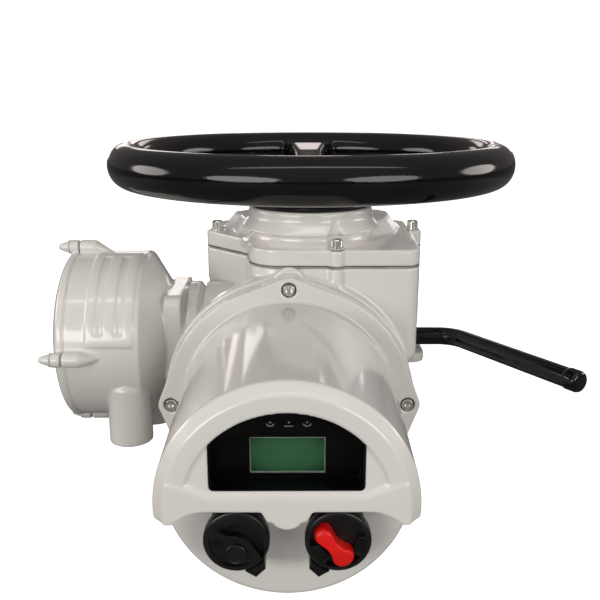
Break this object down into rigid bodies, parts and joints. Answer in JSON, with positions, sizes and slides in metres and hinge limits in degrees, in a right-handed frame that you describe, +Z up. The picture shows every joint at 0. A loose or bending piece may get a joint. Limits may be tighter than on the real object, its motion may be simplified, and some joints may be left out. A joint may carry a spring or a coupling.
{
  "type": "multi-turn electric valve actuator",
  "caption": "Multi-turn motorised valve actuator with a top handwheel, declutch lever, side terminal box and a round local control head with a display window and two knobs.",
  "frame": {"origin": "on the output (valve stem) axis at the valve mounting face", "axes": "+Z up along the output axis, the local control head faces -Y, the terminal box points to -X and the declutch lever comes out at +X"},
  "size_m": [0.4452, 0.5055, 0.352],
  "materials": {
    "body_paint": "gloss light grey paint over cast metal",
    "black_gloss_paint": "high-gloss black enamel",
    "fastener_steel": "stainless, lightly brushed",
    "machined_steel": "machined",
    "bronze": "machined bronze",
    "copper_winding": "varnished winding",
    "seal_rubber": "matt",
    "black_plastic": "satin moulded",
    "red_plastic": "satin moulded",
    "display_glass": "clear, polished",
    "green_screen": "backlit green display",
    "circuit_board": "solder mask"
  },
  "bodies": {
    "casing": {"gear_case": "body_paint", "top_cover": "body_paint", "base_flange": "body_paint", "front_cover": "body_paint", "terminal_housing": "body_paint", "terminal_cover": "body_paint", "motor_housing": "body_paint", "motor_end_cover": "body_paint", "top_cover_screw_1": "fastener_steel", "top_cover_screw_2": "fastener_steel", "top_cover_screw_3": "fastener_steel", "top_cover_screw_4": "fastener_steel", "top_cover_screw_5": "fastener_steel", "base_screw_1": "fastener_steel", "base_screw_2": "fastener_steel", "base_screw_3": "fastener_steel", "base_screw_4": "fastener_steel", "front_cover_screw_1": "fastener_steel", "front_cover_screw_2": "fastener_steel", "front_cover_screw_3": "fastener_steel", "front_cover_screw_4": "fastener_steel", "terminal_cover_screw_1": "fastener_steel", "terminal_cover_screw_2": "fastener_steel", "terminal_cover_screw_3": "fastener_steel", "terminal_cover_screw_4": "fastener_steel", "sleeve_bearing_lower": "machined_steel", "handwheel_bearing": "machined_steel", "worm_bearing_front": "machined_steel", "worm_bearing_rear": "machined_steel", "lever_return_spring": "machined_steel", "lever_bush": "bronze", "motor_stator": "copper_winding", "top_cover_gasket": "seal_rubber", "front_cover_seal": "seal_rubber", "terminal_cover_seal": "seal_rubber", "display_bezel": "black_plastic", "selector_lock_ring": "black_plastic", "control_lock_ring": "black_plastic", "terminal_block": "black_plastic", "display_glass": "display_glass", "lcd_module": "green_screen", "control_board": "circuit_board"},
    "handwheel": {"handwheel": "black_gloss_paint", "handwheel_hub_cap": "black_gloss_paint", "handwheel_drive_tube": "machined_steel", "drive_tube_bush": "bronze"},
    "output": {"drive_sleeve": "machined_steel", "worm_wheel": "bronze", "drive_bush": "bronze"},
    "worm": {"worm_shaft": "machined_steel", "motor_rotor": "machined_steel"},
    "clutch": {"clutch_ring": "machined_steel"},
    "lever": {"declutch_lever": "black_gloss_paint", "lever_cap": "black_gloss_paint", "clutch_crank": "machined_steel"},
    "selector": {"selector_knob": "black_plastic"},
    "control": {"control_knob": "black_plastic", "control_knob_grip": "red_plastic"}
  },
  "joints": [
    {"name": "handwheel_spin", "type": "hinge", "parent": "casing", "child": "handwheel", "pos_m": [0, 0, 0.3343], "axis": [0, 0, 1], "continuous": true},
    {"name": "output_spin", "type": "hinge", "parent": "casing", "child": "output", "pos_m": [0, 0, 0.138], "axis": [0, 0, 1], "continuous": true},
    {"name": "worm_spin", "type": "hinge", "parent": "casing", "child": "worm", "pos_m": [-0.046, 0, 0.138], "axis": [0, 1, 0], "continuous": true},
    {"name": "clutch_lift", "type": "slide", "parent": "output", "child": "clutch", "axis": [0, 0, 1], "range_m": [0, 0.006]},
    {"name": "lever_press", "type": "hinge", "parent": "casing", "child": "lever", "pos_m": [0.1, -0.005, 0.1743], "axis": [1, 0, 0], "range_deg": [0, 25], "stiffness_Nm_per_rad": 4, "springref_deg": -20.05},
    {"name": "selector_turn", "type": "hinge", "parent": "casing", "child": "selector", "pos_m": [-0.0519, -0.24, 0.1111], "axis": [0, -1, 0], "range_deg": [-45, 45]},
    {"name": "control_turn", "type": "hinge", "parent": "casing", "child": "control", "pos_m": [0.0145, -0.24, 0.1111], "axis": [0, -1, 0], "range_deg": [-45, 45], "stiffness_Nm_per_rad": 0.3}
  ],
  "couplings": [
    {"joint": "worm_spin", "follows": "output_spin", "ratio": 30},
    {"joint": "clutch_lift", "follows": "lever_press", "m_per_rad": 0.01375}
  ]
}
